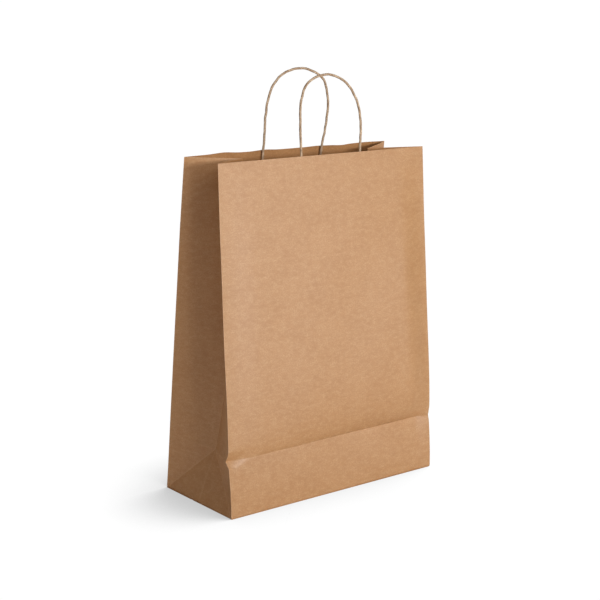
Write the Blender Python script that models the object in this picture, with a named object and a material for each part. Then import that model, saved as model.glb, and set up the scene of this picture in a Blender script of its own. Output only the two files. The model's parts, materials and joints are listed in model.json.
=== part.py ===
"""Gusseted kraft paper carrier bag with two twisted paper cord handles.

The bag stands open on its base. X is its width, the front panel is on the -Y side, +Z is up,
and the origin is the middle of the base. The sheet is split along its fold lines, so each panel
is its own solid, and everything that tilts with the front panel hangs from the fold across it.
"""
import math

import bmesh
import bpy
from mathutils import Matrix, Vector

# Driving dimensions, in metres.
WIDTH = 0.320
DEPTH = 0.140
HEIGHT = 0.420
PAPER = 0.0002              # thickness of the kraft sheet
GAP = 0.0003                # clearance kept between sheets that touch
GUSSET_HALF = DEPTH / 2     # paper width of half a side gusset

# How far the walls lean in at rest: the front panel folds at half the depth, the back is straight.
FOLD_HEIGHT = 0.070
FRONT_FOLD_Y = -0.066
FRONT_RIM_Y = -0.038
BACK_RIM_Y = 0.033

# Side gussets: the centre crease leaves the folded foot at its apex, and hangs a little at the rim.
FOOT_TOP = 0.0642
CREASE_TOP = 0.4140
EDGE_CLEARANCE = 0.0014     # a gusset half starts clear of the panel that it is folded from
GUSSET_ROWS = 12

# Base flaps.
FLAP_LAP = 0.012            # how far each base flap passes the middle of the base
FLAP_CLEARANCE = 0.0008     # a flap's ends stay inside the gussets
LAP_STEP = 0.0015           # the rear flap steps up over the front one within this distance
TUCK_DEPTH = 0.062
TUCK_LEVEL = 0.0010
TUCK_CLEARANCE = 0.0012

# Glued seam down the inside of the back panel.
SEAM_WIDTH = 0.018
SEAM_INSET = 0.0025

# Handle patch: the cord ends lie between two paper strips glued to the panel's inner face.
PATCH_WIDTH = 0.168
PATCH_TOP = -0.018          # heights up the panel are measured from the rim
PATCH_BOTTOM = -0.060
CORD_RADIUS = 0.0015
CORD_END = -0.052
CORD_DEPTH = 2 * PAPER + 2 * GAP + CORD_RADIUS
CORD_STEP = 0.008           # spacing of the points along a handle
PIVOT_HEIGHT = 0.0022       # a handle bends over the rim, just above the paper's edge
CORD_END_TOP = 0.0014
CORD_SIDES = 2
COVER_FOOT = 0.0036         # half the width of the cover strip's hump over a cord end
COVER_ARC = 6

# Handle loops as (x, height above the rim), in the plane of their panel.
FRONT_LOOP = [(-0.036, PIVOT_HEIGHT), (-0.0362, 0.024), (-0.0358, 0.042), (-0.035, 0.054),
              (-0.0328, 0.067), (-0.0282, 0.079), (-0.0195, 0.0878), (-0.006, 0.0935),
              (0.0085, 0.095), (0.0215, 0.0927), (0.034, 0.0863), (0.045, 0.0767),
              (0.0528, 0.064), (0.0573, 0.05), (0.0588, 0.034), (0.0582, 0.018),
              (0.0565, PIVOT_HEIGHT)]
REAR_LOOP = [(-0.0428, PIVOT_HEIGHT), (-0.0422, 0.016), (-0.0427, 0.036), (-0.0415, 0.056),
             (-0.0385, 0.0695), (-0.0335, 0.081), (-0.0225, 0.092), (-0.0105, 0.0972),
             (0.004, 0.0995), (0.0205, 0.0977), (0.037, 0.0907), (0.0465, 0.0817),
             (0.0525, 0.068), (0.0553, 0.053), (0.0547, 0.036), (0.0528, 0.018),
             (0.0502, PIVOT_HEIGHT)]
FRONT_END_X = (-0.036, 0.0565)  # where the glued ends stop, under the patch
REAR_END_X = (-0.0435, 0.0455)

KRAFT = (0.56, 0.34, 0.20, 1.0)
PATCH_KRAFT = (0.52, 0.31, 0.18, 1.0)
CORD_KRAFT = (0.68, 0.50, 0.33, 1.0)

for old in list(bpy.data.objects):
    bpy.data.objects.remove(old)


def paper_material(name, colour, roughness):
    """Matt paper."""
    material = bpy.data.materials.new(name)
    material.use_nodes = True
    shader = material.node_tree.nodes["Principled BSDF"]
    shader.inputs["Base Color"].default_value = colour
    shader.inputs["Roughness"].default_value = roughness
    shader.inputs["Metallic"].default_value = 0.0
    return material


def add_object(name, data, material, axis_empty=None):
    """Link an object, and hang it from the empty that stands on its joint's axis."""
    data.materials.append(material)
    obj = bpy.data.objects.new(name, data)
    bpy.context.collection.objects.link(obj)
    if axis_empty is not None:
        data.transform(Matrix.Translation(-axis_empty.matrix_world.translation))
        obj.parent = axis_empty
    return obj


def add_axis(name, place, parent=None):
    """An empty on a joint's axis."""
    empty = bpy.data.objects.new(name, None)
    empty.empty_display_size = 0.02
    bpy.context.collection.objects.link(empty)
    empty.location = place
    if parent is not None:
        empty.location = place - parent.matrix_world.translation
        empty.parent = parent
    bpy.context.view_layer.update()
    return empty


def finish_sheet(name, bm, outward, colour, axis_empty=None):
    """Turn an open surface's faces outwards and give it the paper's thickness on its inner side."""
    bm.normal_update()
    if sum(face.normal.dot(outward) for face in bm.faces) < 0:
        bmesh.ops.reverse_faces(bm, faces=bm.faces)
    mesh = bpy.data.meshes.new(name)
    bm.to_mesh(mesh)
    bm.free()
    material = paper_material(name + "_paper", colour, 0.85)
    obj = add_object(name, mesh, material, axis_empty)
    thickness = obj.modifiers.new("paper", "SOLIDIFY")
    thickness.thickness = PAPER
    thickness.offset = -1.0
    thickness.use_even_offset = True
    return obj


def lofted_sheet(name, rows, outward, colour, axis_empty=None):
    """A sheet stretched over rows of points, each row as long as the next."""
    bm = bmesh.new()
    rows = [[bm.verts.new(point) for point in row] for row in rows]
    for lower, upper in zip(rows, rows[1:]):
        for index in range(len(lower) - 1):
            bm.faces.new((lower[index], lower[index + 1], upper[index + 1], upper[index]))
    return finish_sheet(name, bm, outward, colour, axis_empty)


def flat_sheet(name, corners, outward, colour, axis_empty=None):
    """A flat sheet from its outline."""
    bm = bmesh.new()
    bm.faces.new([bm.verts.new(corner) for corner in corners])
    return finish_sheet(name, bm, outward, colour, axis_empty)


class Panel:
    """A leaning wall: x across, height up from its rim, depth inwards from its outer face."""

    def __init__(self, rim_y, foot_y, foot_z, inward):
        self.rim = Vector((0, rim_y, HEIGHT))
        self.up = (self.rim - Vector((0, foot_y, foot_z))).normalized()
        self.inward = Vector((0, self.up.z, -self.up.y)) * inward
        self.outward = -self.inward
        self.length = (self.rim - Vector((0, foot_y, foot_z))).length

    def place(self, x, height, depth=0.0):
        return self.rim + Vector((x, 0, 0)) + self.up * height + self.inward * depth

    def rectangle(self, left, right, bottom, top, depth=0.0):
        return [self.place(left, bottom, depth), self.place(right, bottom, depth),
                self.place(right, top, depth), self.place(left, top, depth)]


front = Panel(FRONT_RIM_Y, FRONT_FOLD_Y, FOLD_HEIGHT, 1)
back = Panel(BACK_RIM_Y, DEPTH / 2, 0, -1)
mouth_fold = add_axis("mouth_fold_axis", Vector((0, FRONT_FOLD_Y, FOLD_HEIGHT)))
half_width = WIDTH / 2

# Front band: the strip below the fold line, which stands on the base's front edge.
band_foot = -DEPTH / 2
band_up = Vector((0, FRONT_FOLD_Y - band_foot, FOLD_HEIGHT)).normalized()
band_top = Vector((0, FRONT_FOLD_Y, FOLD_HEIGHT)) - band_up * GAP / 2
flat_sheet("front_band",
           [(-half_width, band_foot, 0), (half_width, band_foot, 0),
            (half_width, band_top.y, band_top.z), (-half_width, band_top.y, band_top.z)],
           Vector((0, -1, 0)), KRAFT)

# Front panel, above the fold, and the back panel, which is straight from base to rim.
flat_sheet("front_panel",
           front.rectangle(-half_width, half_width, GAP / 2 - front.length, 0),
           front.outward, KRAFT, mouth_fold)
flat_sheet("back_panel",
           back.rectangle(-half_width, half_width, -back.length, 0),
           back.outward, KRAFT)


# Side gussets. Each half keeps its paper width, so the centre crease comes in as the mouth narrows.
def wall_y(panel, height):
    """Where a panel's outer face is at a height."""
    return panel.rim.y + panel.up.y / panel.up.z * (height - HEIGHT)


def crease_point(fraction):
    """The left gusset's centre crease, from the foot's apex to the rim."""
    height = FOLD_HEIGHT + (HEIGHT - FOLD_HEIGHT) * fraction
    front_y = wall_y(front, height)
    back_y = wall_y(back, height)
    spread = (back_y - front_y) / 2
    inset = math.sqrt(GUSSET_HALF ** 2 - spread ** 2)
    level = FOOT_TOP + (CREASE_TOP - FOOT_TOP) * fraction
    return Vector((inset - half_width, (front_y + back_y) / 2, level))


def corner_point(panel, fraction):
    """The upright fold between a panel and the left gusset."""
    height = FOLD_HEIGHT + (HEIGHT - FOLD_HEIGHT) * fraction
    return Vector((-half_width, wall_y(panel, height), height))


def inset_outline(corners, distance):
    """A flat outline drawn in from its folds, but left on the ground where it stands there."""
    bm = bmesh.new()
    face = bm.faces.new([bm.verts.new(corner) for corner in corners])
    bmesh.ops.inset_region(bm, faces=[face], thickness=distance, use_even_offset=True)
    inner = [vert.co.copy() for vert in face.verts]
    bm.free()
    return [Vector((point.x, point.y, 0 if corner.z == 0 else point.z))
            for point, corner in zip(inner, corners)]


def gusset_edge(panel, fraction, at_crease, side):
    """A point on the edge of a gusset half, set back from the fold that it meets."""
    low_gap = GAP / (HEIGHT - FOLD_HEIGHT)
    fraction = low_gap + (1 - low_gap) * fraction
    corner = corner_point(panel, fraction)
    crease = crease_point(fraction)
    along = (crease - corner).normalized()
    point = crease - along * GAP if at_crease else corner + along * EDGE_CLEARANCE
    return Vector((-side * point.x, point.y, point.z))


def gusset_foot(label, side):
    """The lowest part of a gusset: three facets, whose folds meet at the apex."""
    apex = crease_point(0)
    clear = PAPER + GAP
    front_low = Vector((-half_width, -DEPTH / 2 + clear, 0))
    back_low = Vector((-half_width, DEPTH / 2 - clear, 0))
    front_top = corner_point(front, 0) + Vector((0, clear, 0))
    back_top = corner_point(back, 0) - Vector((0, clear, 0))
    for part, first, second in (("front", front_top, front_low), ("middle", front_low, back_low),
                                ("rear", back_low, back_top)):
        corners = [Vector((-side * point.x, point.y, point.z)) for point in (first, second, apex)]
        flat_sheet(f"{label}_gusset_foot_{part}", inset_outline(corners, GAP),
                   Vector((side, 0, 0)), KRAFT)


for label, side in (("left", -1), ("right", 1)):
    gusset_foot(label, side)
    for half, panel in (("rear", back), ("front", front)):
        rows = [[gusset_edge(panel, row / GUSSET_ROWS, at_crease, side) for at_crease in (False, True)]
                for row in range(GUSSET_ROWS + 1)]
        lofted_sheet(f"{label}_gusset_{half}", rows,
                     Vector((side, panel.inward.y, 0)), KRAFT)

# Base: the front flap lies outermost, the rear flap laps over its edge, and the side tucks lie inside.
flap_half = half_width - FLAP_CLEARANCE
front_edge = -DEPTH / 2 + 2 * GAP
back_edge = DEPTH / 2 - 2 * GAP
flat_sheet("front_base_flap",
           [(-flap_half, front_edge, 0), (flap_half, front_edge, 0),
            (flap_half, FLAP_LAP, 0), (-flap_half, FLAP_LAP, 0)],
           Vector((0, 0, -1)), KRAFT)
step_start = FLAP_LAP + GAP + LAP_STEP
step_end = FLAP_LAP + GAP
lapped = PAPER + GAP
rear_flap_line = [(back_edge, 0), (step_start, 0), (step_end, lapped), (-FLAP_LAP, lapped)]
lofted_sheet("rear_base_flap",
             [[(x, y, z) for y, z in rear_flap_line] for x in (-flap_half, flap_half)],
             Vector((0, 0, -1)), KRAFT)
tuck_edge = half_width - TUCK_CLEARANCE
tuck_half = DEPTH / 2 - TUCK_CLEARANCE
for label, side in (("left", -1), ("right", 1)):
    inner = tuck_edge - TUCK_DEPTH
    inner_half = tuck_half - TUCK_DEPTH
    flat_sheet(label + "_base_tuck",
               [(side * tuck_edge, -tuck_half, TUCK_LEVEL), (side * inner, -inner_half, TUCK_LEVEL),
                (side * inner, inner_half, TUCK_LEVEL), (side * tuck_edge, tuck_half, TUCK_LEVEL)],
               Vector((0, 0, -1)), KRAFT)

# Side seam: the sheet's overlapping edge, glued down inside the back panel.
seam_right = half_width - SEAM_INSET
flat_sheet("side_seam_tab",
           back.rectangle(seam_right - SEAM_WIDTH, seam_right, 2 * TUCK_LEVEL - back.length,
                          -2 * GAP, PAPER + GAP),
           back.outward, KRAFT)


def smooth_route(points, spacing):
    """Points at an even spacing on a smooth curve through a route's own points."""
    points = [Vector(point) for point in points]
    padded = [2 * points[0] - points[1]] + points + [2 * points[-1] - points[-2]]
    steps = 24
    fine = []
    for index in range(1, len(padded) - 2):
        before, start, end, after = padded[index - 1:index + 3]
        for step in range(steps):
            t = step / steps
            fine.append(0.5 * (2 * start + (end - before) * t
                               + (2 * before - 5 * start + 4 * end - after) * t ** 2
                               + (3 * start - before - 3 * end + after) * t ** 3))
    fine.append(points[-1])
    lengths = [0.0]
    for first, second in zip(fine, fine[1:]):
        lengths.append(lengths[-1] + (second - first).length)
    count = max(2, round(lengths[-1] / spacing))
    route = []
    index = 0
    for number in range(count + 1):
        target = lengths[-1] * number / count
        while index < len(lengths) - 2 and lengths[index + 1] < target:
            index += 1
        share = (target - lengths[index]) / (lengths[index + 1] - lengths[index])
        route.append(fine[index].lerp(fine[index + 1], min(1.0, share)))
    return route


def cord(name, points, axis_empty=None):
    """A length of twisted paper cord as a plain round tube."""
    curve = bpy.data.curves.new(name, "CURVE")
    curve.dimensions = "3D"
    curve.bevel_depth = CORD_RADIUS
    curve.bevel_resolution = CORD_SIDES
    curve.use_fill_caps = True
    curve.render_resolution_u = 0
    route = smooth_route(points, CORD_STEP)
    spline = curve.splines.new("POLY")
    spline.points.add(len(route) - 1)
    for target, point in zip(spline.points, route):
        target.co = (*point, 1.0)
    add_object(name, curve, paper_material(name + "_cord", CORD_KRAFT, 0.8), axis_empty)


def cover_row(panel, centre, cord_xs, height):
    """Across the cover strip: flat on the backing strip, and raised over each cord end."""
    flat = 2 * PAPER + 3 * GAP
    reach = CORD_RADIUS + 2 * GAP
    line = [(centre - PATCH_WIDTH / 2, flat)]
    for x in cord_xs:
        line.append((x - COVER_FOOT, flat))
        for step in range(COVER_ARC + 1):
            angle = math.pi * (1 - step / COVER_ARC)
            line.append((x + reach * math.cos(angle), CORD_DEPTH + reach * math.sin(angle)))
        line.append((x + COVER_FOOT, flat))
    line.append((centre + PATCH_WIDTH / 2, flat))
    return [panel.place(x, height, depth) for x, depth in line]


def handle(label, panel, loop, end_xs, fixed_axis=None):
    """A cord loop, its two glued ends, and the two paper strips that hold them."""
    centre = (loop[0][0] + loop[-1][0]) / 2
    left = centre - PATCH_WIDTH / 2
    right = centre + PATCH_WIDTH / 2
    flat_sheet(label + "_patch_backing",
               panel.rectangle(left, right, PATCH_BOTTOM, PATCH_TOP, PAPER + GAP),
               panel.outward, PATCH_KRAFT, fixed_axis)
    for side, top_x, end_x in (("left", loop[0][0], end_xs[0]), ("right", loop[-1][0], end_xs[1])):
        ends = [panel.place(end_x, CORD_END, CORD_DEPTH), panel.place(top_x, CORD_END_TOP, CORD_DEPTH)]
        cord(f"{label}_handle_{side}_end", ends, fixed_axis)
    rows = []
    for height in (PATCH_BOTTOM, PATCH_TOP):
        share = (height - CORD_END) / (CORD_END_TOP - CORD_END)
        xs = [end_x + (top[0] - end_x) * share for end_x, top in zip(end_xs, (loop[0], loop[-1]))]
        rows.append(cover_row(panel, centre, xs, height))
    lofted_sheet(label + "_patch_cover", rows, panel.outward, PATCH_KRAFT, fixed_axis)
    pivot = add_axis(label + "_handle_axis", panel.place(centre, PIVOT_HEIGHT, PAPER / 2), fixed_axis)
    cord(label + "_handle_loop", [panel.place(x, height, CORD_DEPTH) for x, height in loop], pivot)


handle("front", front, FRONT_LOOP, FRONT_END_X, mouth_fold)
handle("rear", back, REAR_LOOP, REAR_END_X)
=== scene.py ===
import json
import math

import bmesh
import bpy
from mathutils import Matrix, Vector, noise


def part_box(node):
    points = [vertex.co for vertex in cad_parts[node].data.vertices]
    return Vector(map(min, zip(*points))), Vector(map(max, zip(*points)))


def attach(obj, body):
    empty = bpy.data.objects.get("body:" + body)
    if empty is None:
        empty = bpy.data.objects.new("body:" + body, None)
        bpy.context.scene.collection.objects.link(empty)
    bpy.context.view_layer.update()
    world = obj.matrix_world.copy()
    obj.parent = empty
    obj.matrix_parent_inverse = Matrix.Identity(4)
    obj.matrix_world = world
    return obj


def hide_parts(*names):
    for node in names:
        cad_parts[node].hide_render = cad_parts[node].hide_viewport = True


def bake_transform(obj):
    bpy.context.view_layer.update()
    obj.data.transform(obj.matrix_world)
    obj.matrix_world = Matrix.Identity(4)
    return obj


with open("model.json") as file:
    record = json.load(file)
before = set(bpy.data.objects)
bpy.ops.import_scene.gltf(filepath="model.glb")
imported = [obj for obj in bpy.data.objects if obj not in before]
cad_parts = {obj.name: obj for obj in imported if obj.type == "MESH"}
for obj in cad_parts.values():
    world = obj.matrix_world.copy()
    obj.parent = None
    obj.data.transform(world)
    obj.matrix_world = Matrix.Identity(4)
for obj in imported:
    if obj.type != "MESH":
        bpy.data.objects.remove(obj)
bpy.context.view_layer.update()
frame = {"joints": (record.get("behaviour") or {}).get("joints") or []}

# ---------------------------------------------------------------------------------------------
# Front wall. One stretch of brown kraft, about 110 g per square metre, from the base to the rim.
# A crease runs across it where the base was folded up in the flat pack, so the foot leans back,
# and the wall stands out again above the crease. The crease is pushed in where it meets the side.
# ---------------------------------------------------------------------------------------------
PAPER = 0.00016                 # thickness of the kraft
CAD_PAPER = 0.0002              # and of the plain solids that it covers
SHEET_STEP = 0.0045             # spacing of the points that a sheet bends at
FOLD_STEPS = (0.0005, 0.0020, 0.0045, 0.0078)   # and of those beside a fold, measured from it
BAND_CURVE = 1.6                # the band below the crease is a little hollow
BELLY_LEFT = 0.02               # how steeply the wall leans out just above the crease, at its two ends
BELLY_RIGHT = 0.66
BELLY_REACH = 0.030
BELLY_AT_FOLD = 0.15            # the share of it that is left at the upright folds
BELLY_FADE = 0.045              # and how far in from a fold it is whole again
LEFT_FLARE = 0.0088             # the foot spreads a little wider than the rim
RIGHT_FLARE = 0.0150
FOLD_SPREAD = 0.0110            # and the left side is widest at the crease
FOLD_SPREAD_REACH = 0.045
FOLD_BACKSET = 0.0016           # the upright folds hang back a little from the wall
BACKSET_START = 0.11
PUSH_LEFT = 0.0010              # the crease is pushed in a little along its whole length
PUSH_RIGHT = 0.0056
PUSH_BELOW = 0.034              # how far down and up from the crease the push is felt
PUSH_ABOVE = 0.0085
PUSH_AT_FOLD = 0.25             # the share of it that is left at the right fold
PUSH_FADE = 0.022
NOTCH_DEPTH = 0.0060            # the crease's left end is pinched in
NOTCH_REACH = 0.016
NOTCH_TAPER = 0.55
NOTCH_BELOW = 0.0078            # and the pinch fades more slowly above the crease
NOTCH_ABOVE = 0.0125
NOTCH_SOFTNESS = 1.4
NICK_DEPTH = 0.0012             # its right end has a small nick, with a lip beside it
NICK_REACH = 0.006
LIP_HEIGHT = 0.0010
LIP_THICKNESS = 0.0014
LIP_IN = 0.007                  # in from the right fold, and up from the crease
LIP_UP = 0.0012
BASE_ROUND = 0.0009             # the sheet turns under at the base round a small radius
BASE_TURN = 0.0022
FOLD_ROUND = 0.00014            # the upright folds are not quite sharp
WAVE = 0.0011                   # height of the slow waves
CORD_MARKS = (-0.036, 0.0565)   # where the glued cord ends show through from inside
MARK_HEIGHT = 0.00016
MARK_WIDTH = 0.0022
MARK_START = 0.055              # the marks grow from here up to MARK_FULL below the rim
MARK_FULL = 0.045
SHARP_FOLD = math.radians(18)   # past this turn an edge is shaded as a fold
KRAFT_BROWN = (0.522, 0.268, 0.106, 1.0)
KRAFT_SHADE = (0.455, 0.216, 0.074, 1.0)
KRAFT_PALE = (0.622, 0.378, 0.196, 1.0)
SHIVE_BROWN = (0.240, 0.115, 0.050, 1.0)
EDGE_BROWN_AND_HIGHLIGHT = (0.62, 0.40, 0.23, 1.0)        # the open fibres of a cut, paler still as a painted highlight of the edge
EDGE_PALE_AND_HIGHLIGHT = (0.70, 0.50, 0.33, 1.0)
FIBRE_RELIEF = 0.00006
INNER_SHADED_BROWN = (0.430, 0.205, 0.073, 1.0)    # the sheet's inner face is duller than its outer one, and darker as painted shade for the inside of the bag
INNER_SHADE = (0.365, 0.165, 0.052, 1.0)

crease = Vector(next(joint["pos_m"] for joint in frame["joints"] if joint["name"] == "mouth_fold"))
half_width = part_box("front_panel")[1].x
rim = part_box("front_panel")[1].z
front_rim_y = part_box("front_panel")[1].y - CAD_PAPER
front_foot_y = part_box("front_band")[0].y


def bell(value, width):
    """A smooth bump of height one."""
    return math.exp(-(value / width) ** 2)


def fade(value, low, high):
    """Nought below low, one above high, smooth between."""
    share = min(1.0, max(0.0, (value - low) / (high - low)))
    return share * share * (3 - 2 * share)


def ripple(across, up, seed, size=0.085):
    """The slow waves of a sheet that was stored folded flat."""
    return noise.noise(Vector((across / size, up / size / 1.4, seed)))


def spread(across, up):
    """The sheet's place across, where the bag is wider towards its foot."""
    flare = RIGHT_FLARE if across > 0 else LEFT_FLARE
    fold = FOLD_SPREAD * bell(up - crease.z, FOLD_SPREAD_REACH) if across < 0 else 0.0
    return across * (1 + flare * (1 - (up / rim) ** 2) + fold)


def turned_under(up):
    """How far the lowest edge of a wall has turned in under the base."""
    return BASE_ROUND * max(0.0, 1 - up / BASE_TURN) ** 2


def part_way(left, right, across):
    """A value that changes evenly from the wall's left fold to its right one."""
    return left + (right - left) * (0.5 + 0.5 * across / half_width)


def partly(least, share):
    """A share that starts from a least value and ends at one."""
    return least + (1 - least) * share


def front_line(across, up):
    """The wall's line from foot to rim: back to the crease, then out round the belly and straight on."""
    if up <= crease.z:
        return front_foot_y + (crease.y - front_foot_y) * (up / crease.z) ** BAND_CURVE
    rise = up - crease.z
    height = rim - crease.z
    belly = part_way(BELLY_LEFT, BELLY_RIGHT, across)
    belly *= partly(BELLY_AT_FOLD, fade(half_width - abs(across), 0.0, BELLY_FADE))
    bulge = belly * BELLY_REACH
    lean = (front_rim_y - crease.y + bulge) / height
    y = crease.y + lean * rise - bulge * (1 - math.exp(-rise / BELLY_REACH))
    backset = FOLD_BACKSET * fade(abs(across), BACKSET_START, half_width)
    return y + backset * math.sin(math.pi * rise / height)


def crease_dent(across, up):
    """How far the paper is pushed in round the crease, with its pinched left end and nicked right end."""
    above = up - crease.z
    push = part_way(PUSH_LEFT, PUSH_RIGHT, across)
    push *= partly(PUSH_AT_FOLD, fade(half_width - across, 0.0, PUSH_FADE))
    if above < 0:
        felt = math.exp(above / PUSH_BELOW)
        tent = max(0.0, 1 + above / NOTCH_BELOW)
        reach = NOTCH_REACH * (1 - NOTCH_TAPER * (1 - tent))
        pinch = tent
    else:
        felt = math.exp(-above / PUSH_ABOVE)
        tent = max(0.0, 1 - above / NOTCH_ABOVE)
        reach = NOTCH_REACH * (2 - tent)
        pinch = tent ** NOTCH_SOFTNESS
    dent = push * felt + NOTCH_DEPTH * pinch * bell(across + half_width, reach)
    dent += NICK_DEPTH * tent * bell(across - half_width, NICK_REACH)
    lip = bell(across - half_width + LIP_IN, NICK_REACH) * bell(above - LIP_UP, LIP_THICKNESS)
    return dent - LIP_HEIGHT * lip


def front_point(across, up, notched=True):
    """The outer face of the front wall."""
    calm = fade(up, 0.0, 0.03) * partly(0.25, fade(rim - up, 0.02, 0.10))
    y = front_line(across, up) + WAVE * calm * ripple(across, up, 3.1) + turned_under(up)
    for mark in CORD_MARKS:
        shown = bell(across - mark, MARK_WIDTH) * fade(up, rim - MARK_START, rim - MARK_FULL)
        y -= MARK_HEIGHT * shown
    if notched:
        y += crease_dent(across, up)
    return Vector((spread(across, up), y, up))


def front_corner(side, up):
    """The upright fold between the front wall and a gusset."""
    return front_point(side * half_width, up) + Vector((-side * FOLD_ROUND, FOLD_ROUND, 0))


def graded(low, high, step, fine=FOLD_STEPS):
    """Places from low to high, closer together at both ends, where the sheet is folded."""
    count = round((high - low - 2 * fine[-1]) / step)
    inner = [low + fine[-1] + (high - low - 2 * fine[-1]) * number / count for number in range(1, count)]
    return ([low] + [low + gap for gap in fine] + inner
            + [high - gap for gap in reversed(fine)] + [high])


def add_piece(name, bm, materials):
    """A finished mesh as an object of its own, at the origin."""
    mesh = bpy.data.meshes.new(name)
    bm.to_mesh(mesh)
    bm.free()
    for material in materials:
        mesh.materials.append(material)
    piece = bpy.data.objects.new(name, mesh)
    bpy.context.collection.objects.link(piece)
    return piece


def make_sheet(name, columns, rows, shape, flat_place, outward, materials):
    """A thin sheet: a grid bent to a shape, whose UV map is its place on the flat sheet in metres."""
    bm = bmesh.new()
    bmesh.ops.create_grid(bm, x_segments=len(columns) - 1, y_segments=len(rows) - 1, size=1.0)
    flat_map = bm.loops.layers.uv.new("flat_sheet")
    places = {}
    for vert in bm.verts:
        column = round((vert.co.x + 1) / 2 * (len(columns) - 1))
        row = round((vert.co.y + 1) / 2 * (len(rows) - 1))
        places[vert] = (columns[column], rows[row])
    for face in bm.faces:
        for loop in face.loops:
            loop[flat_map].uv = flat_place(*places[loop.vert])
    for vert, place in places.items():
        vert.co = shape(*place)
    bmesh.ops.remove_doubles(bm, verts=bm.verts, dist=1e-6)
    bmesh.ops.dissolve_degenerate(bm, dist=1e-7, edges=bm.edges)
    bm.normal_update()
    if sum(face.normal.dot(outward) * face.calc_area() for face in bm.faces) < 0:
        bmesh.ops.reverse_faces(bm, faces=bm.faces)
    for edge in bm.edges:
        edge.smooth = not edge.is_boundary and edge.calc_face_angle(0) < SHARP_FOLD
    for face in bm.faces:
        face.smooth = True
    sheet = add_piece(name, bm, materials)
    paper = sheet.modifiers.new("paper", "SOLIDIFY")
    paper.thickness = PAPER
    paper.offset = -1.0
    paper.use_even_offset = True
    paper.material_offset = len(materials) - 2      # the inner face, where it has a material of its own
    paper.material_offset_rim = len(materials) - 1
    return sheet


def add_node(tree, kind, place, **settings):
    """A shader node with its settings."""
    node = tree.nodes.new(kind)
    node.location = place
    for key, value in settings.items():
        setattr(node, key, value)
    return node


def new_group(name, inputs, outputs):
    """An empty shader node group with named sockets."""
    tree = bpy.data.node_groups.new(name, "ShaderNodeTree")
    for label, kind, value in inputs:
        socket = tree.interface.new_socket(name=label, in_out="INPUT", socket_type=kind)
        if value is not None:
            socket.default_value = value
    for label, kind in outputs:
        tree.interface.new_socket(name=label, in_out="OUTPUT", socket_type=kind)
    return tree, add_node(tree, "NodeGroupInput", (-900, 0)), add_node(tree, "NodeGroupOutput", (900, 0))


def math_node(tree, operation, first, second=None):
    """A math node fed by sockets or plain numbers."""
    node = add_node(tree, "ShaderNodeMath", (0, 0), operation=operation)
    for socket, value in zip(node.inputs, (first, second)):
        if isinstance(value, (int, float)):
            socket.default_value = value
        elif value is not None:
            tree.links.new(value, socket)
    return node.outputs[0]


def noise_node(tree, vector, scale, detail, roughness, stretch=None, turn=0.0):
    """Noise, stretched and turned where asked."""
    if stretch is not None:
        mapping = add_node(tree, "ShaderNodeMapping", (-700, 0))
        mapping.inputs["Scale"].default_value = stretch
        mapping.inputs["Rotation"].default_value = (0, 0, turn)
        tree.links.new(vector, mapping.inputs["Vector"])
        vector = mapping.outputs["Vector"]
    node = add_node(tree, "ShaderNodeTexNoise", (-500, 0))
    node.inputs["Scale"].default_value = scale
    node.inputs["Detail"].default_value = detail
    node.inputs["Roughness"].default_value = roughness
    tree.links.new(vector, node.inputs["Vector"])
    return node.outputs["Fac"]


def remap(tree, value, low, high, out_low=0.0, out_high=1.0):
    """A value from one range to another, held inside it."""
    node = add_node(tree, "ShaderNodeMapRange", (-300, 0), interpolation_type="SMOOTHSTEP")
    for name, number in (("From Min", low), ("From Max", high), ("To Min", out_low), ("To Max", out_high)):
        node.inputs[name].default_value = number
    tree.links.new(value, node.inputs["Value"])
    return node.outputs["Result"]


def mix_colour(tree, share, first, second):
    """Two colours mixed by a share, each a socket or a plain colour."""
    node = add_node(tree, "ShaderNodeMix", (200, 0), data_type="RGBA")
    for socket, value in zip([socket for socket in node.inputs if socket.enabled], (share, first, second)):
        if isinstance(value, (int, float, tuple)):
            socket.default_value = value
        else:
            tree.links.new(value, socket)
    return next(socket for socket in node.outputs if socket.enabled)


def build_fibre_group():
    """Paper fibre: cloudy formation, short fibres lying two ways, and sparse dark shives."""
    tree, start, end = new_group(
        "paper_fibre",
        [("Vector", "NodeSocketVector", None), ("Base", "NodeSocketColor", KRAFT_BROWN),
         ("Shade", "NodeSocketColor", KRAFT_SHADE), ("Pale", "NodeSocketColor", KRAFT_PALE)],
        [("Colour", "NodeSocketColor"), ("Height", "NodeSocketFloat")])
    vector = start.outputs["Vector"]
    shade, pale = start.outputs["Shade"], start.outputs["Pale"]
    broad = noise_node(tree, vector, 1.0, 6, 0.84, (22, 27, 1))
    cloud = noise_node(tree, vector, 1.0, 5, 0.90, (110, 190, 1))
    grain = noise_node(tree, vector, 620, 3, 0.65)
    along = noise_node(tree, vector, 1.0, 4, 0.7, (2600, 520, 1), 0.5)
    cross = noise_node(tree, vector, 1.0, 4, 0.7, (480, 2300, 1), 0.35)
    shive = noise_node(tree, vector, 1.0, 2, 0.5, (900, 330, 1), -0.25)
    strands = math_node(tree, "MAXIMUM", along, cross)
    tone = mix_colour(tree, remap(tree, broad, 0.41, 0.60, 0.0, 0.85), start.outputs["Base"], shade)
    tone = mix_colour(tree, remap(tree, cloud, 0.42, 0.62, 0.0, 0.60), tone, pale)
    tone = mix_colour(tree, remap(tree, grain, 0.38, 0.66, 0.0, 0.80), tone, shade)
    tone = mix_colour(tree, remap(tree, strands, 0.54, 0.76, 0.0, 0.75), tone, pale)
    tone = mix_colour(tree, remap(tree, shive, 0.71, 0.77, 0.0, 0.55), tone, SHIVE_BROWN)
    height = math_node(tree, "ADD", math_node(tree, "MULTIPLY", strands, 0.55),
                       math_node(tree, "MULTIPLY", grain, 0.45))
    tree.links.new(tone, end.inputs["Colour"])
    tree.links.new(height, end.inputs["Height"])
    return tree


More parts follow.
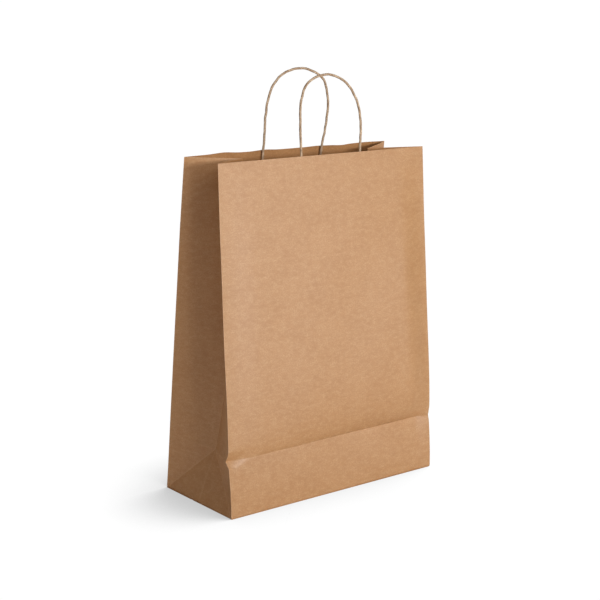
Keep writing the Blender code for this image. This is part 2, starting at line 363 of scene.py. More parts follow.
def build_fold_line_group():
    """A thin pale line where a distance on the flat sheet is nought, partly wear of the fibres and partly a
    painted highlight on the fold.
    """
    tree, start, end = new_group(
        "fold_line",
        [("Distance", "NodeSocketFloat", 0.0), ("Width", "NodeSocketFloat", 0.001),
         ("Strength", "NodeSocketFloat", 0.5)],
        [("Mask", "NodeSocketFloat")])
    share = math_node(tree, "DIVIDE", math_node(tree, "ABSOLUTE", start.outputs["Distance"]),
                      start.outputs["Width"])
    line = remap(tree, share, 0.15, 1.0, 1.0, 0.0)
    tree.links.new(math_node(tree, "MULTIPLY", line, start.outputs["Strength"]), end.inputs["Mask"])
    return tree


fibre_group = build_fibre_group()
fold_line_group = build_fold_line_group()


def new_material(name):
    """A material with the plain shader in it."""
    material = bpy.data.materials.new(name)
    material.use_nodes = True
    return material


def add_fibre(tree, base=KRAFT_BROWN, shade=KRAFT_SHADE, pale=KRAFT_PALE):
    """The fibre group, laid out on a piece's own flat sheet."""
    flat_place = add_node(tree, "ShaderNodeUVMap", (-1100, 0), uv_map="flat_sheet")
    fibre = add_node(tree, "ShaderNodeGroup", (-500, 200), node_tree=fibre_group)
    for name, colour in (("Base", base), ("Shade", shade), ("Pale", pale)):
        fibre.inputs[name].default_value = colour
    tree.links.new(flat_place.outputs["UV"], fibre.inputs["Vector"])
    return flat_place.outputs["UV"], fibre


def finish_paper(material, colour, height, roughness, relief, gloss=1.0):
    """Wire a paper's colour and fibre relief to its shader."""
    tree = material.node_tree
    shader = tree.nodes["Principled BSDF"]
    shader.inputs["Roughness"].default_value = roughness
    shader.inputs["Specular IOR Level"].default_value = gloss
    bump = add_node(tree, "ShaderNodeBump", (500, -300))
    bump.inputs["Strength"].default_value = 0.55
    bump.inputs["Distance"].default_value = relief
    tree.links.new(height, bump.inputs["Height"])
    tree.links.new(bump.outputs["Normal"], shader.inputs["Normal"])
    tree.links.new(colour, shader.inputs["Base Color"])


GUSSET_HALF = (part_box("back_panel")[1].y - front_foot_y) / 2


def build_kraft_sheet(name, base, shade, pale, roughness, gloss):
    """A face of the bag's sheet, pale along every fold line: partly wear of the fibres, partly a painted
    highlight on the folds and the gussets' rim.
    """
    material = new_material(name)
    tree = material.node_tree
    flat_uv, fibre = add_fibre(tree, base, shade, pale)
    split = add_node(tree, "ShaderNodeSeparateXYZ", (-900, -300))
    tree.links.new(flat_uv, split.inputs["Vector"])
    across, up = math_node(tree, "ABSOLUTE", split.outputs["X"]), split.outputs["Y"]
    to_middle = math_node(tree, "ABSOLUTE", math_node(tree, "SUBTRACT", across, half_width + GUSSET_HALF))
    to_crease = math_node(tree, "SUBTRACT", up, crease.z)
    to_diagonal = math_node(tree, "ADD", to_middle, to_crease)
    on_foot = math_node(tree, "MULTIPLY", math_node(tree, "LESS_THAN", up, crease.z),
                        math_node(tree, "LESS_THAN", to_middle, GUSSET_HALF))
    before_back = math_node(tree, "LESS_THAN", across, half_width + 2 * GUSSET_HALF)
    wear_and_highlight = None
    # For each fold: the distance to it, how wide its pale line is, how strong, and on which part; the line is
    # partly wear and partly painted highlight.
    for distance, width, strength, where in (
            (math_node(tree, "SUBTRACT", across, half_width), 0.0011, 0.55, None),
            (math_node(tree, "SUBTRACT", across, half_width + 2 * GUSSET_HALF), 0.0011, 0.55, None),
            (to_middle, 0.0013, 0.40, None),
            (to_crease, 0.0012, 0.20, before_back),
            (up, 0.0012, 0.25, None),
            (math_node(tree, "SUBTRACT", up, rim), 0.0016, 0.60,
             math_node(tree, "LESS_THAN", to_middle, GUSSET_HALF)),
            (to_diagonal, 0.0019, 0.50, on_foot)):
        line = add_node(tree, "ShaderNodeGroup", (-300, -300), node_tree=fold_line_group)
        tree.links.new(distance, line.inputs["Distance"])
        line.inputs["Width"].default_value = width
        line.inputs["Strength"].default_value = strength
        mask = line.outputs["Mask"]
        if where is not None:
            mask = math_node(tree, "MULTIPLY", mask, where)
        wear_and_highlight = mask if wear_and_highlight is None else math_node(tree, "MAXIMUM", wear_and_highlight, mask)
    # The folds' pale lines are partly fibre wear and partly painted highlight, broken up by noise.
    wear_and_highlight_noise = remap(tree, noise_node(tree, flat_uv, 420, 3, 0.6), 0.30, 0.62, 0.35, 1.0)
    colour = mix_colour(tree, math_node(tree, "MULTIPLY", wear_and_highlight, wear_and_highlight_noise), fibre.outputs["Colour"], pale)
    finish_paper(material, colour, fibre.outputs["Height"], roughness, FIBRE_RELIEF, gloss)
    return material


def build_cut_edge():
    """Where the blade cut the sheet: open fibres, paler than its face, partly as a painted highlight where
    the edge catches light.
    """
    material = new_material("kraft_cut_edge")
    _, fibre = add_fibre(material.node_tree, EDGE_BROWN_AND_HIGHLIGHT, KRAFT_BROWN, EDGE_PALE_AND_HIGHLIGHT)
    finish_paper(material, fibre.outputs["Colour"], fibre.outputs["Height"], 0.92, 0.00005)
    return material


def declare_sheet(nodes):
    """Hide the plain solids that a part of the folded sheet stands for."""
    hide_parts(*nodes)


kraft = [build_kraft_sheet("kraft_sheet", KRAFT_BROWN, KRAFT_SHADE, KRAFT_PALE, 0.50, 1.0),
         # the inner face: duller, and coloured darker as painted shade for the inside of the bag
         build_kraft_sheet("kraft_inner_face_shaded", INNER_SHADED_BROWN, INNER_SHADE, KRAFT_BROWN, 0.72, 0.5),
         build_cut_edge()]
wall_columns = graded(-half_width, half_width, SHEET_STEP)
foot_rows = graded(0.0, crease.z, SHEET_STEP)
upper_rows = graded(crease.z, rim, SHEET_STEP)
wall_rows = foot_rows + upper_rows[1:]
front_sheet = make_sheet(
    "front_sheet", wall_columns, wall_rows,
    lambda across, up: front_point(across, up) if abs(across) < half_width
    else front_corner(math.copysign(1, across), up),
    lambda across, up: (across, up), Vector((0, -1, 0)), kraft)
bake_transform(front_sheet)
declare_sheet(["front_band", "front_panel"])

# ---------------------------------------------------------------------------------------------
# Back wall. It is the same sheet of kraft carried round the back, straight from the base's rear
# edge to the rim. Its rim is a plain knife cut, which waves a little between the corners.
# ---------------------------------------------------------------------------------------------
REAR_PINCH = 0.013              # the rear rim draws in a little as the mouth narrows
BACK_WAVE = 0.0013
END_WAVE = 0.0030               # the upper wall waves more towards its two ends
END_WAVE_START, END_WAVE_FULL = 0.070, 0.100
END_WAVE_HEIGHT = 0.25
RIM_WAVE_DEPTH = 0.030          # the rim's own waves are felt this far down
RIM_WAVES = ((-0.101, 0.0015, 0.016), (-0.040, 0.0011, 0.014), (0.045, 0.0006, 0.014),
             (0.086, -0.0010, 0.012), (0.126, 0.0006, 0.020))     # place, lift, width
back_rim_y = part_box("back_panel")[0].y + CAD_PAPER
back_foot_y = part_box("back_panel")[1].y


def back_point(across, up):
    """The outer face of the back wall."""
    share = up / rim
    y = back_foot_y + (back_rim_y - back_foot_y) * share - turned_under(up)
    calm = fade(up, 0.0, 0.03) * partly(0.35, fade(rim - up, 0.02, 0.10))
    y += BACK_WAVE * calm * ripple(across, up, 8.4)
    near_end = fade(abs(across), END_WAVE_START, END_WAVE_FULL) * fade(up, END_WAVE_HEIGHT, rim)
    y += END_WAVE * near_end * ripple(across, 0.0, 5.2, 0.05)
    near_rim = fade(up, rim - RIM_WAVE_DEPTH, rim)
    lift = sum(height * bell(across - place, width) for place, height, width in RIM_WAVES)
    return Vector((across * (1 - REAR_PINCH * share ** 3), y, up + near_rim * lift))


def back_corner(side, up):
    """The upright fold between the back wall and a gusset."""
    return back_point(side * half_width, up) + Vector((-side * FOLD_ROUND, -FOLD_ROUND, 0))


back_sheet = make_sheet(
    "back_sheet", wall_columns, wall_rows,
    lambda across, up: back_point(across, up) if abs(across) < half_width
    else back_corner(math.copysign(1, across), up),
    lambda across, up: (2 * half_width + 2 * GUSSET_HALF - across, up), Vector((0, 1, 0)), kraft)
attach(back_sheet, "bag_body")
declare_sheet(["back_panel"])

# ---------------------------------------------------------------------------------------------
# Side gussets. Each side folds in along its middle crease, as far as the paper's width asks, and
# its foot folds along two diagonals from the base's corners to the apex. Above the foot a gusset
# gives with the front wall, so its sheet tucks a finger's width down inside the foot.
# ---------------------------------------------------------------------------------------------
TUCKED = 0.006
TUCK_CLEAR = 0.00045
TUCK_EASE = 0.0020
APEX_LIFT = 0.0006
FACET_RIDGE = 0.0007            # the foot's middle facet is a little full
GUSSET_BOW = 0.0016             # each half stands out in a shallow bow, from this far above the foot
BOW_WAVE = 0.0012
BOW_START = 0.08
BOW_SHARE = 0.6                 # how it is shared between across and along
RIM_CREASE_DROP = 0.0022        # the middle crease hangs a little below the rim
apex_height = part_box("left_gusset_foot_middle")[1].z + APEX_LIFT


def crease_point(side, up):
    """The middle crease of a gusset."""
    front = front_point(side * half_width, up, notched=False)
    back = back_point(side * half_width, up)
    middle = (front + back) / 2
    inset = math.sqrt(max(0.0, GUSSET_HALF ** 2 - ((back.y - front.y) / 2) ** 2))
    share = (up - crease.z) / (rim - crease.z)
    level = apex_height + (rim - RIM_CREASE_DROP - apex_height) * share
    return Vector((middle.x - side * inset, middle.y, level))


def gusset_foot_point(side, across, up):
    """The foot's three facets, which meet along the diagonals."""
    apex = crease_point(side, crease.z)
    share = up / crease.z
    reach = GUSSET_HALF - up
    corners = [front_corner(side, 0), back_corner(side, 0)]
    if across > 0:
        corners.reverse()
    near, far = (corner.lerp(apex, share) for corner in corners)
    if abs(across) > reach:
        edge = back_corner(side, up) if across > 0 else front_corner(side, up)
        return near.lerp(edge, (abs(across) - reach) / up)
    if reach == 0:
        return apex
    ridge = FACET_RIDGE * (1 - abs(across) / reach) * math.sin(math.pi * share) - turned_under(up)
    return far.lerp(near, 0.5 + abs(across) / reach / 2) + Vector((side * ridge, 0, 0))


def gusset_upper_point(side, across, up):
    """Across runs from the front fold, at minus the half, to the back fold, at plus the half."""
    if up < crease.z:
        inward = TUCK_CLEAR * fade(crease.z - up, 0.0, TUCK_EASE)
        return gusset_foot_point(side, across, up) - Vector((side * inward, 0, 0))
    corner = back_corner(side, up) if across > 0 else front_corner(side, up)
    share = abs(across) / GUSSET_HALF
    bow = math.sin(math.pi * share) * fade(up, crease.z, crease.z + BOW_START) * BOW_SHARE
    bow *= GUSSET_BOW + BOW_WAVE * ripple(across, up, 11.0 + side)
    flat = crease_point(side, up).lerp(corner, share)
    return flat + Vector((side * bow, math.copysign(bow, -across), 0))


def foot_spot(column, up):
    """Columns that follow the diagonals: up to one they fill the middle facet, past it an outer one."""
    reach = GUSSET_HALF - up
    if abs(column) <= 1:
        return column * reach
    return math.copysign(reach + (abs(column) - 1) * up, column)


half_columns = graded(0.0, GUSSET_HALF, SHEET_STEP)
gusset_columns = [-column for column in reversed(half_columns)] + half_columns[1:]
facet_columns = [1 + number / 14 for number in range(15)]
foot_columns = ([-column for column in reversed(facet_columns)]
                + [number / 12 for number in range(-11, 12)] + facet_columns)
tucked_rows = [crease.z - TUCKED, crease.z - TUCK_EASE] + upper_rows

for label, side in (("left", -1), ("right", 1)):
    upper = make_sheet(
        label + "_gusset_sheet", gusset_columns, tucked_rows,
        lambda across, up: gusset_upper_point(side, across, up),
        lambda across, up: (side * (half_width + GUSSET_HALF + across), up), Vector((side, 0, 0)), kraft)
    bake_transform(upper)
    declare_sheet([label + "_gusset_front", label + "_gusset_rear"])
    foot = make_sheet(
        label + "_gusset_foot_sheet", foot_columns, [0.0] + foot_rows[2:],
        lambda column, up: gusset_foot_point(side, foot_spot(column, up), up),
        lambda column, up: (side * (half_width + GUSSET_HALF + foot_spot(column, up)), up),
        Vector((side, 0, 0)), kraft)
    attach(foot, "bag_body")
    declare_sheet([f"{label}_gusset_foot_{part}" for part in ("front", "middle", "rear")])

# ---------------------------------------------------------------------------------------------
# Base. Four flaps close it: the front flap lies outermost, the rear flap is glued over its edge,
# and the two side tucks, whose corners fold in along the diagonals, lie on top inside the bag.
# ---------------------------------------------------------------------------------------------
FLAP_END_CLEAR = 0.0008
FLAP_DRAW = 0.0012              # a flap is drawn in by this share as it folds under
FLAP_WRINKLE = 0.00010
FLAP_CLEAR = PAPER * 0.2
TUCK_WRINKLE = 0.00035
flap_ends = graded(-half_width + FLAP_END_CLEAR, half_width - FLAP_END_CLEAR, 0.012)
front_flap_low, front_flap_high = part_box("front_base_flap")
rear_flap_low, rear_flap_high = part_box("rear_base_flap")
LAP_LIFT = rear_flap_high.z - 2 * PAPER
LAP_START = 0.0004
LAP_RUN = 0.004                 # the rear flap climbs over the front one within this run


def flap_point(across, y, lift, seed):
    """A base flap, its glued paper very slightly wrinkled above the flat underside."""
    wrinkle = FLAP_WRINKLE * (1 + ripple(across, y, seed, 0.03)) * fade(abs(y), 0.0, 0.012)
    wrinkle *= fade(half_width - abs(across), 0.001, 0.02) * fade(GUSSET_HALF - abs(y), 0.001, 0.02)
    return Vector((spread(across, 0.0) * (1 - FLAP_DRAW), y, lift + wrinkle + FLAP_CLEAR))


def rear_lift(y):
    """The rear flap lies on the front one where they lap, and comes down past its edge."""
    return LAP_LIFT * (1 - fade(y, front_flap_high.y + LAP_START, front_flap_high.y + LAP_RUN))


front_flap = make_sheet(
    "front_flap_sheet", flap_ends, graded(front_flap_low.y, front_flap_high.y, 0.008),
    lambda across, y: flap_point(across, y, 0.0, 21.0),
    lambda across, y: (across, front_flap_low.y - y), Vector((0, 0, -1)), kraft)
rear_flap = make_sheet(
    "rear_flap_sheet", flap_ends, graded(rear_flap_low.y, rear_flap_high.y, 0.0035),
    lambda across, y: flap_point(across, y, rear_lift(y), 22.0),
    lambda across, y: (2 * half_width + 2 * GUSSET_HALF - across, y - rear_flap_high.y),
    Vector((0, 0, -1)), kraft)
for flap, (low, high), node in ((front_flap, (front_flap_low, front_flap_high), "front_base_flap"),
                                (rear_flap, (rear_flap_low, rear_flap_high), "rear_base_flap")):
    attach(flap, "bag_body")
    declare_sheet([node])

for label, side in (("left", -1), ("right", 1)):
    low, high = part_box(label + "_base_tuck")
    outer, inner = (high.x, low.x) if side > 0 else (low.x, high.x)
    depth = abs(outer - inner)

    def tuck_point(run, share):
        """A place on the tuck, which narrows as its corners fold in along the diagonals."""
        wrinkle = TUCK_WRINKLE * (1 + ripple(run, share * 0.07, 31.0 + side, 0.03)) * fade(run, 0.0, 0.02)
        return Vector((outer - side * run, share * (high.y - run), low.z + wrinkle))

    tuck = make_sheet(
        label + "_tuck_sheet", graded(0.0, depth, 0.007), [number / 10 for number in range(-10, 11)],
        tuck_point, lambda run, share: (side * (half_width + GUSSET_HALF + share * (high.y - run)), -run),
        Vector((0, 0, -1)), kraft)
    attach(tuck, "bag_body")
    declare_sheet([label + "_base_tuck"])

# ---------------------------------------------------------------------------------------------
# Side seam. The sheet's free edge laps inside the back wall beside the right fold, and is glued
# down its whole height, so the tube closes.
# ---------------------------------------------------------------------------------------------
TAB_CLEAR = 0.0004
TAB_WRINKLE = 0.0001
TAB_ROWS = 90
tab_low, tab_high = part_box("side_seam_tab")


def tab_point(x, up):
    """A place on the tab, just inside the back wall."""
    wrinkle = TAB_WRINKLE * ripple(x, up, 41.0, 0.02)
    return back_point(x, up) - Vector((0, PAPER + TAB_CLEAR + wrinkle, 0))


tab_sheet = make_sheet(
    "side_seam_sheet", graded(tab_low.x, tab_high.x, SHEET_STEP, (0.0010,)),
    [tab_low.z + (tab_high.z - tab_low.z) * number / TAB_ROWS for number in range(TAB_ROWS + 1)],
    tab_point, lambda x, up: (x - tab_high.x - half_width, up), Vector((0, 1, 0)), kraft)
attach(tab_sheet, "bag_body")
declare_sheet(["side_seam_tab"])

# ---------------------------------------------------------------------------------------------
# Handle patches. Each handle's two ends are glued between two strips of the same kraft, and the
# pair is glued inside its wall, below the rim. The cover strip rises over each cord.
# ---------------------------------------------------------------------------------------------
CORD_RADIUS = 0.0015
CORD_DEPTH = 0.0025             # how far inside a wall's outer face the cord's middle lies
CORD_END = -0.052               # heights up a wall are measured from its rim
PIVOT_HEIGHT = 0.0022           # a handle bends over the rim, just above the paper's edge
PATCH_WIDTH = 0.168
PATCH_TOP = -0.018
PATCH_BOTTOM = -0.060
BACKING_DEPTH = 0.0005
COVER_DEPTH = 0.0013
COVER_RADIUS = CORD_RADIUS + 0.00035
COVER_FOOT = 0.0046             # half the width of the cover's rise over a cord
BACKING_CUT = 0.9               # where along the roll of paper each strip was cut
COVER_CUT = 0.7
PATCH_STEP = 0.006
PATCH_EDGE = (0.001,)
HUMP_STEP = 0.0006              # finer columns follow the rise over each cord
HUMP_STEPS = 14
HUMP_CLEAR = 0.009
PATCH_BROWN = (0.475, 0.235, 0.092, 1.0)
PATCH_SHADE = (0.410, 0.190, 0.064, 1.0)


class Wall:
    """A leaning wall: x across, height up from its rim, depth inwards from its outer face."""

    def __init__(self, rim_y, foot_y, foot_z, inward):
        """Inward is one where the inner side faces the back, and minus one where it faces the front."""
        self.rim = Vector((0, rim_y, rim))
        self.up = (self.rim - Vector((0, foot_y, foot_z))).normalized()
        self.inward = Vector((0, self.up.z, -self.up.y)) * inward

    def place(self, x, height, depth):
        """A point in the object's own frame."""
        return self.rim + Vector((x, 0, 0)) + self.up * height + self.inward * depth


front_wall = Wall(front_rim_y, crease.y, crease.z, 1)
back_wall = Wall(back_rim_y, back_foot_y, 0.0, -1)

# Handle loops as (x, height above the rim), in the plane of their wall.
FRONT_LOOP = [(-0.036, PIVOT_HEIGHT), (-0.0362, 0.024), (-0.0358, 0.042), (-0.035, 0.054),
              (-0.0328, 0.067), (-0.0282, 0.079), (-0.0195, 0.0878), (-0.006, 0.0935),
              (0.0085, 0.095), (0.0215, 0.0927), (0.034, 0.0863), (0.045, 0.0767),
              (0.0528, 0.064), (0.0573, 0.05), (0.0588, 0.034), (0.0582, 0.018),
              (0.0565, PIVOT_HEIGHT)]
REAR_LOOP = [(-0.0428, PIVOT_HEIGHT), (-0.0422, 0.016), (-0.0427, 0.036), (-0.0415, 0.056),
             (-0.0385, 0.0695), (-0.0335, 0.081), (-0.0225, 0.092), (-0.0105, 0.0972),
             (0.004, 0.0995), (0.0205, 0.0977), (0.037, 0.0907), (0.0465, 0.0817),
             (0.0525, 0.068), (0.0553, 0.053), (0.0547, 0.036), (0.0528, 0.018),
             (0.0502, PIVOT_HEIGHT)]
FRONT_END_X = CORD_MARKS        # where the glued ends stop, under the patch
REAR_END_X = (-0.0435, 0.0455)
HANDLES = (("front", front_wall, FRONT_LOOP, FRONT_END_X, "front_panel", "front_handle"),
           ("rear", back_wall, REAR_LOOP, REAR_END_X, "bag_body", "rear_handle"))


def build_patch_paper():
    """The strips' kraft, a shade deeper than the bag's."""
    material = new_material("patch_paper")
    _, fibre = add_fibre(material.node_tree, PATCH_BROWN, PATCH_SHADE, KRAFT_BROWN)
    finish_paper(material, fibre.outputs["Colour"], fibre.outputs["Height"], 0.54, FIBRE_RELIEF)
    return material


patch_kraft = [build_patch_paper(), kraft[2]]
patch_rows = [PATCH_BOTTOM + (PATCH_TOP - PATCH_BOTTOM) * number / 12 for number in range(13)]
for label, wall, loop, end_xs, fixed_body, _ in HANDLES:
    centre = (loop[0][0] + loop[-1][0]) / 2
    left, right = centre - PATCH_WIDTH / 2, centre + PATCH_WIDTH / 2
    tops = (loop[0][0], loop[-1][0])

    def cord_x(number, height):
        """Where a cord runs under the patch at a height."""
        share = min(1.0, (height - CORD_END) / (PIVOT_HEIGHT - CORD_END))
        return end_xs[number] + (tops[number] - end_xs[number]) * share

    def cover_depth(x, height):
        """The cover is flat on the backing strip, and rises round over each cord."""
        gap = min(abs(x - cord_x(number, height)) for number in (0, 1))
        if gap < COVER_RADIUS * 0.8:
            return CORD_DEPTH + math.sqrt(COVER_RADIUS ** 2 - gap ** 2)
        shoulder = CORD_DEPTH + COVER_RADIUS * 0.6
        return shoulder + (COVER_DEPTH - shoulder) * fade(gap, COVER_RADIUS * 0.75, COVER_FOOT)

    backing_columns = graded(left, right, PATCH_STEP, PATCH_EDGE)
    cover_columns = set(backing_columns)
    for number in (0, 1):
        middle = cord_x(number, (PATCH_BOTTOM + PATCH_TOP) / 2)
        cover_columns = {x for x in cover_columns if abs(x - middle) > HUMP_CLEAR}
        cover_columns |= {middle + step * HUMP_STEP for step in range(-HUMP_STEPS, HUMP_STEPS + 1)}
    backing = make_sheet(
        label + "_backing_sheet", backing_columns, patch_rows,
        lambda x, height: wall.place(x, height, BACKING_DEPTH),
        lambda x, height: (x + BACKING_CUT, height), -wall.inward, patch_kraft)
    cover = make_sheet(
        label + "_cover_sheet", sorted(cover_columns), patch_rows,
        lambda x, height: wall.place(x, height, cover_depth(x, height)),
        lambda x, height: (x + COVER_CUT, height), -wall.inward, patch_kraft)
    for strip, node in ((backing, label + "_patch_backing"), (cover, label + "_patch_cover")):
        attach(strip, fixed_body)
        declare_sheet([node])

# ---------------------------------------------------------------------------------------------
# Handles. Each is one length of paper cord: a strip of pale kraft twisted tight, whose plies wind
# round it as low ridges. It kinks a little along its length, as twisted paper does.
# ---------------------------------------------------------------------------------------------
CORD_PALE = (0.680, 0.490, 0.315, 1.0)
# the cord's brown is partly its own tone and partly painted shade for its grooves and shaded side
CORD_BROWN_AND_SHADE = (0.310, 0.182, 0.095, 1.0)
CORD_LIGHT = (0.800, 0.640, 0.460, 1.0)
PLY_PITCH = 0.0135              # one ply's turn along the cord
PLIES = 3
PLY_GROOVE = 0.18               # groove depth as a share of the radius
CORD_SIDES = 24
RING_STEP = 0.0009
CURVE_STEPS = 24                # steps on the curve between two points of a route
PLY_CREST = 1.03                # a ply's crest stands a little proud, and the twist wanders and is lumpy
PLY_WANDER = 1.3
WANDER_LENGTH = 0.03
LUMP = 0.07
LUMP_LENGTH = 0.006
KINK = 0.000672
KINK_LENGTHS = (0.011, 0.013, 0.012)
KINK_START = 0.020              # a loop is straight until this far above the rim


def smooth_route(points, spacing):
    """Points at an even spacing on a smooth curve through a route's own points."""
    padded = [2 * points[0] - points[1]] + points + [2 * points[-1] - points[-2]]
    fine = []
    for before, start, end, after in zip(padded, padded[1:], padded[2:], padded[3:]):
        for step in range(CURVE_STEPS):
            t = step / CURVE_STEPS
            fine.append(0.5 * (2 * start + (end - before) * t
                               + (2 * before - 5 * start + 4 * end - after) * t ** 2
                               + (3 * start - before - 3 * end + after) * t ** 3))
    fine.append(points[-1])
    lengths = [0.0]
    for first, second in zip(fine, fine[1:]):
        lengths.append(lengths[-1] + (second - first).length)
    count = round(lengths[-1] / spacing)
    route = []
    index = 0
    for number in range(count + 1):
        target = lengths[-1] * number / count
        while index < len(lengths) - 2 and lengths[index + 1] < target:
            index += 1
        share = (target - lengths[index]) / (lengths[index + 1] - lengths[index])
        route.append(fine[index].lerp(fine[index + 1], min(1.0, share)))
    return route, lengths[-1]


def twisted_tube(name, route, across_way, material, seed):
    """A tube along a route, its plies wound round it; its UV map is (turn, length)."""
    rings = len(route)
    bm = bmesh.new()
    bmesh.ops.create_grid(bm, x_segments=CORD_SIDES, y_segments=rings - 1, size=1.0)
    cord_map = bm.loops.layers.uv.new("cord_length")
    spots = {}
    for vert in bm.verts:
        spots[vert] = (round((vert.co.x + 1) / 2 * CORD_SIDES), round((vert.co.y + 1) / 2 * (rings - 1)))
    for face in bm.faces:
        face.smooth = True
        for loop in face.loops:
            turn, ring = spots[loop.vert]
            loop[cord_map].uv = (turn / CORD_SIDES, ring * RING_STEP)
    for vert, (turn, ring) in spots.items():
        ahead = (route[min(ring + 1, rings - 1)] - route[max(ring - 1, 0)]).normalized()
        sideways = ahead.cross(across_way).normalized()
        angle = math.tau * turn / CORD_SIDES
        length = ring * RING_STEP
        wander = PLY_WANDER * noise.noise(Vector((length / WANDER_LENGTH, seed, 0.0)))
        wind = angle - math.tau * length / (PLY_PITCH * PLIES) + wander
        groove = PLY_GROOVE * (1 - abs(math.cos(wind * PLIES / 2))) ** 1.5
        lump = LUMP * noise.noise(Vector((length / LUMP_LENGTH, math.cos(angle) + seed, math.sin(angle))))
        radius = CORD_RADIUS * (PLY_CREST - groove + lump)
        vert.co = route[ring] + (across_way * math.cos(angle) + sideways * math.sin(angle)) * radius
    bmesh.ops.remove_doubles(bm, verts=bm.verts, dist=1e-6)
    rims = [edge for edge in bm.edges if edge.is_boundary]
    bmesh.ops.holes_fill(bm, edges=rims, sides=0)
    for edge in rims:
        edge.smooth = False
    bmesh.ops.recalc_face_normals(bm, faces=bm.faces)
    return add_piece(name, bm, [material])


def build_cord_paper():
    """The cord's kraft: pale, with brown streaks and fibres wound along the plies and brown patches; the
    brown is partly the cord's own tone and partly painted shade for its grooves and shaded side.
    """
    material = new_material("twisted_cord")
    tree = material.node_tree
    cord_place = add_node(tree, "ShaderNodeUVMap", (-1300, 0), uv_map="cord_length")
    split = add_node(tree, "ShaderNodeSeparateXYZ", (-1200, 0))
    tree.links.new(cord_place.outputs["UV"], split.inputs["Vector"])
    turns = math_node(tree, "SUBTRACT", split.outputs["X"],
                      math_node(tree, "DIVIDE", split.outputs["Y"], PLY_PITCH * PLIES))
    wound = add_node(tree, "ShaderNodeCombineXYZ", (-900, 0))
    tree.links.new(math_node(tree, "MULTIPLY", turns, 0.011), wound.inputs["X"])
    tree.links.new(math_node(tree, "MULTIPLY", split.outputs["Y"], 0.18), wound.inputs["Y"])
    fibre = add_node(tree, "ShaderNodeGroup", (-500, 200), node_tree=fibre_group)
    for name, colour in (("Base", CORD_PALE), ("Shade", CORD_BROWN_AND_SHADE), ("Pale", CORD_LIGHT)):
        fibre.inputs[name].default_value = colour
    tree.links.new(wound.outputs["Vector"], fibre.inputs["Vector"])
    place = add_node(tree, "ShaderNodeTexCoord", (-1100, -300))
    patchy = noise_node(tree, place.outputs["Object"], 140, 3, 0.6)
    colour = mix_colour(tree, remap(tree, patchy, 0.46, 0.66, 0.0, 0.60), fibre.outputs["Colour"], CORD_BROWN_AND_SHADE)
    finish_paper(material, colour, fibre.outputs["Height"], 0.80, 0.00010)
    return material


cord_paper = build_cord_paper()
for seed, (label, wall, loop, end_xs, fixed_body, loop_body) in enumerate(HANDLES):
    under = [(end_xs[0], CORD_END), ((end_xs[0] + loop[0][0]) / 2, CORD_END / 2)]
    over = [((end_xs[1] + loop[-1][0]) / 2, CORD_END / 2), (end_xs[1], CORD_END)]
    points = [wall.place(x, height, CORD_DEPTH) for x, height in under + loop + over]
    route, cord_length = smooth_route(points, RING_STEP)
    kinked = []
    for number, point in enumerate(route):
        length = number * RING_STEP
        free = fade((point - wall.rim).dot(wall.up), PIVOT_HEIGHT, KINK_START)
        sway = Vector([noise.noise(Vector((length / kink_length, 51.0 + 2 * axis + seed, 0)))
                       for axis, kink_length in enumerate(KINK_LENGTHS)])
        kinked.append(point + sway * KINK * free)
    cord = twisted_tube(label + "_handle_cord", kinked, wall.inward, cord_paper, 61.0 + seed)
    pivot = wall.place((loop[0][0] + loop[-1][0]) / 2, PIVOT_HEIGHT, CORD_DEPTH)
    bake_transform(cord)
    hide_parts(label + "_handle_loop", label + "_handle_left_end", label + "_handle_right_end")

# ---------------------------------------------------------------------------------------------
# Floor, light and camera. A white floor and sky that throw back less light than they show, two soft
# lights in front of the bag, one low and one high, a weak warm one on its left side, and a strong
# one behind its right side, for its back and the inside of its mouth.
# ---------------------------------------------------------------------------------------------
FLOOR_REACH = 90.0
FLOOR_SHADE = (0.66, 0.60, 0.55, 1.0)
SKY_SHADE = (0.090, 0.080, 0.070, 1.0)
WHITE = (1.0, 1.0, 1.0, 1.0)
SHADOW_REACH = 0.16
SHADOW_SIDE = (0.62, -0.35, 0.70)     # the painted shadow lies fuller on the left of the bag and behind it
LIGHT_DISTANCE = 3.0
CAMERA_LENS = 87.10
CAMERA_PLACE = (-1.119, -1.3757, 0.6355)
CAMERA_TURN = -38.976           # degrees, from looking straight at the front
CAMERA_DIP = 12.786
CAMERA_ROLL = 0.891


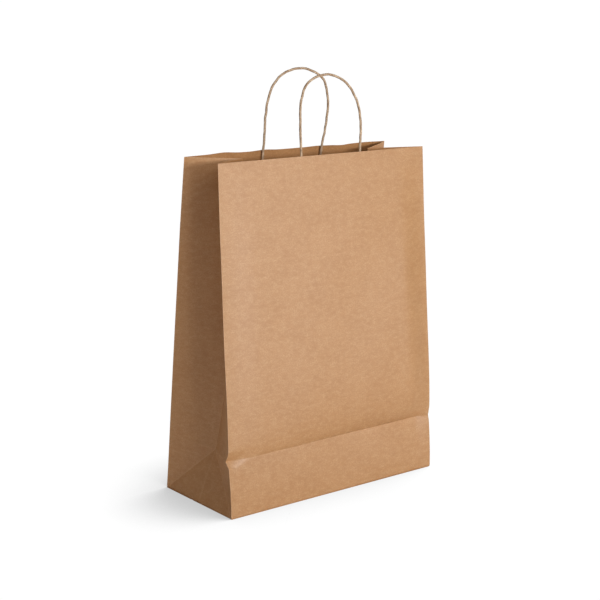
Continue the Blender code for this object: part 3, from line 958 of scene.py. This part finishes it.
def build_floor():
    """A floor that glows white to the camera, with a painted shadow close round what stands on it, worked out
    from nearness, not cast by the lamps.
    """
    bm = bmesh.new()
    bmesh.ops.create_grid(bm, x_segments=1, y_segments=1, size=FLOOR_REACH)
    material = new_material("floor_white")
    tree = material.node_tree
    shader = tree.nodes["Principled BSDF"]
    shader.inputs["Base Color"].default_value = FLOOR_SHADE
    shader.inputs["Roughness"].default_value = 0.9
    shader.inputs["Specular IOR Level"].default_value = 0.0
    painted_shadow_nearness = add_node(tree, "ShaderNodeAmbientOcclusion", (-500, -300), samples=24)
    painted_shadow_nearness.inputs["Distance"].default_value = SHADOW_REACH
    side = add_node(tree, "ShaderNodeCombineXYZ", (-800, -300))
    for socket, value in zip(side.inputs, SHADOW_SIDE):
        socket.default_value = value
    tree.links.new(side.outputs["Vector"], painted_shadow_nearness.inputs["Normal"])
    # the camera sees the floor glow, darkened close round the bag as a painted shadow
    shown = add_node(tree, "ShaderNodeEmission", (0, -300))
    level = remap(tree, painted_shadow_nearness.outputs["AO"], 0.30, 0.93, 0.56, 1.02)
    tree.links.new(level, shown.inputs["Strength"])
    path = add_node(tree, "ShaderNodeLightPath", (0, 300))
    either = add_node(tree, "ShaderNodeMixShader", (300, 0))
    tree.links.new(path.outputs["Is Camera Ray"], either.inputs[0])
    tree.links.new(shader.outputs[0], either.inputs[1])
    tree.links.new(shown.outputs[0], either.inputs[2])
    tree.links.new(either.outputs[0], tree.nodes["Material Output"].inputs["Surface"])
    add_piece("floor", bm, [material])


def add_soft_box(name, azimuth, elevation, size, power, colour=(1, 1, 1)):
    """A lit panel facing the bag: azimuth 0 is in front of it, and a positive one is to its right."""
    data = bpy.data.lights.new(name, "AREA")
    data.shape = "RECTANGLE"
    data.size, data.size_y = size
    data.energy = power
    data.color = colour
    lamp = bpy.data.objects.new(name, data)
    turn, rise = math.radians(azimuth), math.radians(elevation)
    toward = Vector((math.sin(turn) * math.cos(rise), -math.cos(turn) * math.cos(rise), math.sin(rise)))
    lamp.location = Vector((0, 0, rim / 2)) + toward * LIGHT_DISTANCE
    lamp.rotation_euler = (-toward).to_track_quat("-Z", "Y").to_euler()
    bpy.context.collection.objects.link(lamp)


build_floor()
add_soft_box("key_light", 5, 12, (2.0, 0.42), 57, (0.98, 1.01, 1.04))
add_soft_box("high_light", 4, 32, (2.2, 1.2), 21, (0.99, 1.0, 1.02))
add_soft_box("left_light", -85, 26, (1.6, 1.2), 14.5, (1.0, 0.91, 0.82))
add_soft_box("rear_light", 135, 22, (1.6, 1.2), 75)
world = bpy.data.worlds.new("white_studio")
world.use_nodes = True
world_tree = world.node_tree
path = add_node(world_tree, "ShaderNodeLightPath", (-600, 0))
sky_colour = mix_colour(world_tree, path.outputs["Is Camera Ray"], SKY_SHADE, WHITE)
world_tree.links.new(sky_colour, world_tree.nodes["Background"].inputs["Color"])
bpy.context.scene.world = world
bpy.context.scene.view_settings.view_transform = "Standard"

camera_data = bpy.data.cameras.new("camera")
camera_data.sensor_width = 36.0
camera_data.lens = CAMERA_LENS
camera_data.clip_end = 300.0
camera = bpy.data.objects.new("camera", camera_data)
bpy.context.collection.objects.link(camera)
camera.matrix_world = (Matrix.Translation(CAMERA_PLACE)
                       @ Matrix.Rotation(math.radians(CAMERA_TURN), 4, "Z")
                       @ Matrix.Rotation(math.radians(90 - CAMERA_DIP), 4, "X")
                       @ Matrix.Rotation(math.radians(CAMERA_ROLL), 4, "Z"))
bpy.context.scene.camera = camera
